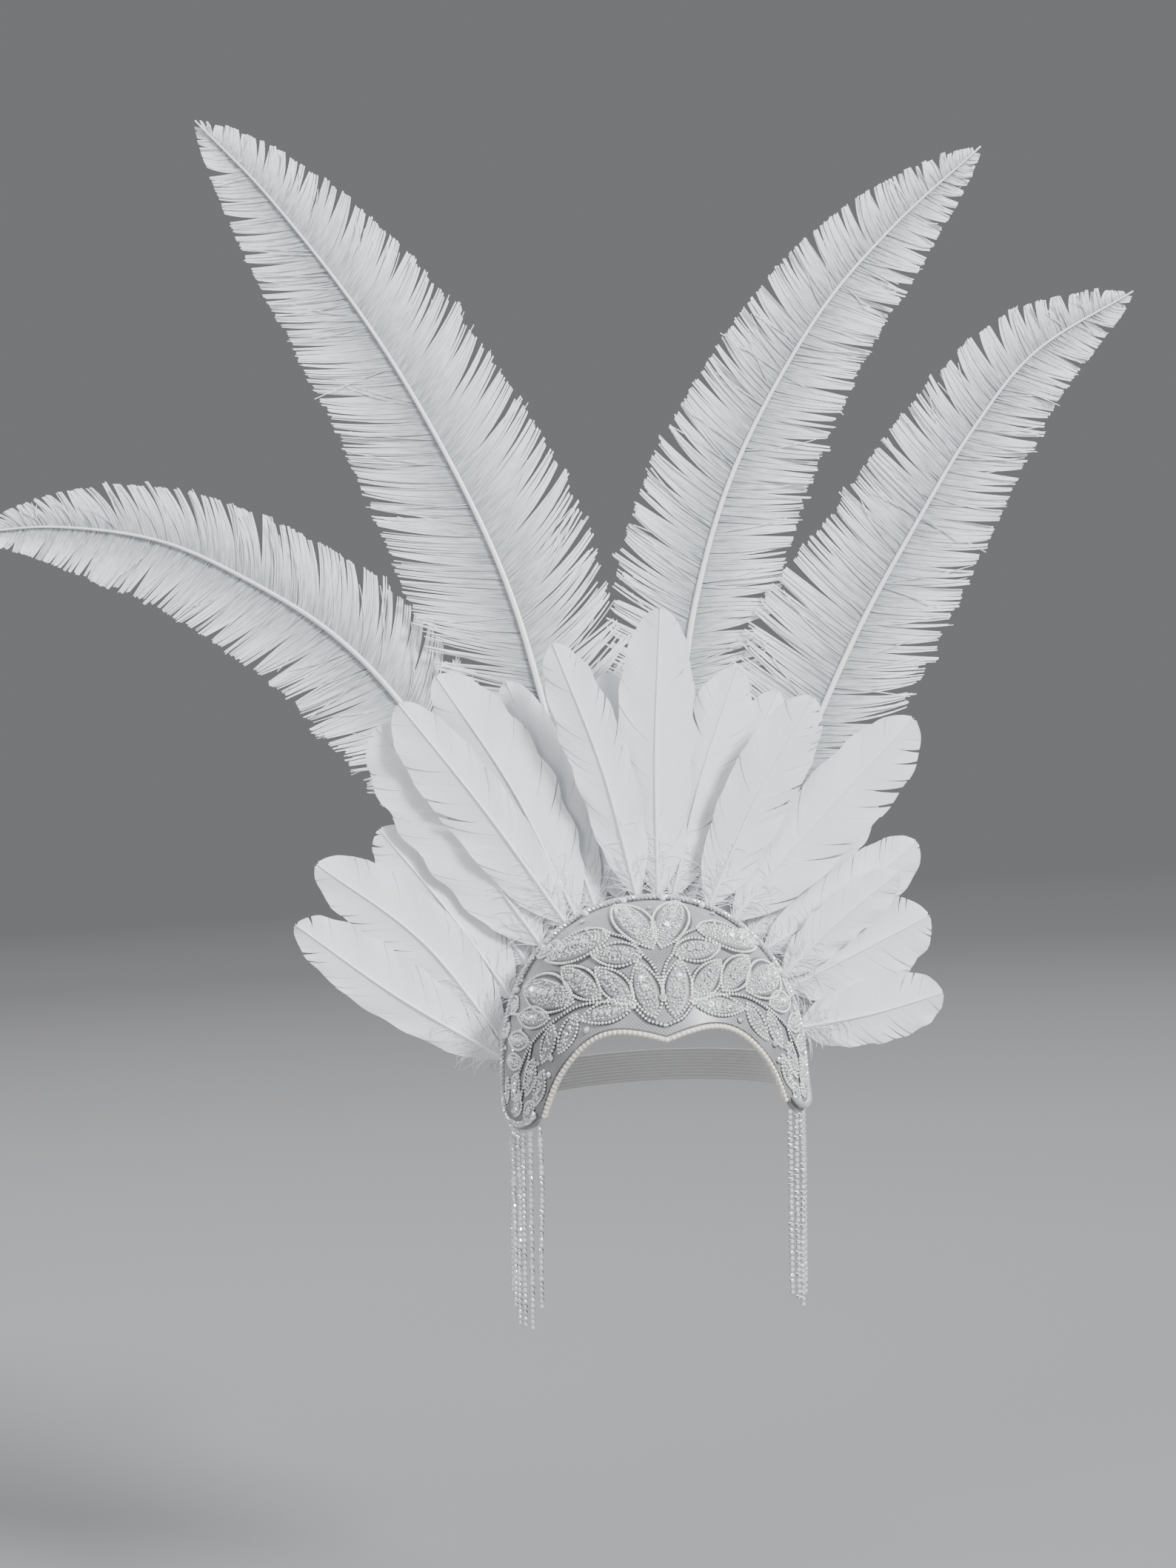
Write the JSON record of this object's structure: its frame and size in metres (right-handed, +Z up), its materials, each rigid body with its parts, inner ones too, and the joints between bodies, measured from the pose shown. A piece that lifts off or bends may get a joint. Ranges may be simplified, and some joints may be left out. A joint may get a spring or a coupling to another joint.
{
  "type": "feathered showgirl headdress",
  "caption": "White feather fan headdress: a beaded silver cap with side lobes, a fan of goose feathers and ostrich plumes, and stone chain fringe.",
  "frame": {"origin": "the inner top of the cap, where it seats on the crown of the head", "axes": "+Z up, the face looks along -Y, +X to the viewer's right when facing the wearer"},
  "size_m": [0.6821, 0.1913, 0.6863],
  "materials": {
    "silver_net": "silver-grey satin under net, beaded",
    "cream_bead": "small cream pearl beads",
    "silver_cord": "twisted metallic cord",
    "goose_feather": "smooth white vane",
    "ostrich_plume": "soft white barbs",
    "felt": "white felt",
    "elastic": "white ribbed elastic",
    "stone_chain": "clear stones in silver cups"
  },
  "bodies": {
    "root": {"back_strap": "elastic", "cap": "silver_net", "crown_trim": "silver_cord", "face_trim": "cream_bead", "feather_backing": "felt", "fringe_chain_left_1": "stone_chain", "fringe_chain_left_2": "stone_chain", "fringe_chain_left_3": "stone_chain", "fringe_chain_left_4": "stone_chain", "fringe_chain_left_5": "stone_chain", "fringe_chain_left_6": "stone_chain", "fringe_chain_right_1": "stone_chain", "fringe_chain_right_2": "stone_chain", "fringe_chain_right_3": "stone_chain", "fringe_chain_right_4": "stone_chain", "fringe_chain_right_5": "stone_chain", "fringe_chain_right_6": "stone_chain", "goose_feather_01": "goose_feather", "goose_feather_02": "goose_feather", "goose_feather_03": "goose_feather", "goose_feather_04": "goose_feather", "goose_feather_05": "goose_feather", "goose_feather_06": "goose_feather", "goose_feather_07": "goose_feather", "goose_feather_08": "goose_feather", "goose_feather_09": "goose_feather", "goose_feather_10": "goose_feather", "goose_feather_11": "goose_feather", "goose_feather_12": "goose_feather", "goose_feather_13": "goose_feather", "goose_feather_14": "goose_feather", "goose_feather_15": "goose_feather", "goose_feather_16": "goose_feather", "goose_feather_17": "goose_feather", "goose_feather_18": "goose_feather", "goose_feather_19": "goose_feather", "goose_feather_20": "goose_feather", "goose_feather_21": "goose_feather", "plume_lower_left": "ostrich_plume", "plume_lower_right": "ostrich_plume", "plume_upper_left": "ostrich_plume", "plume_upper_right": "ostrich_plume"}
  },
  "joints": []
}
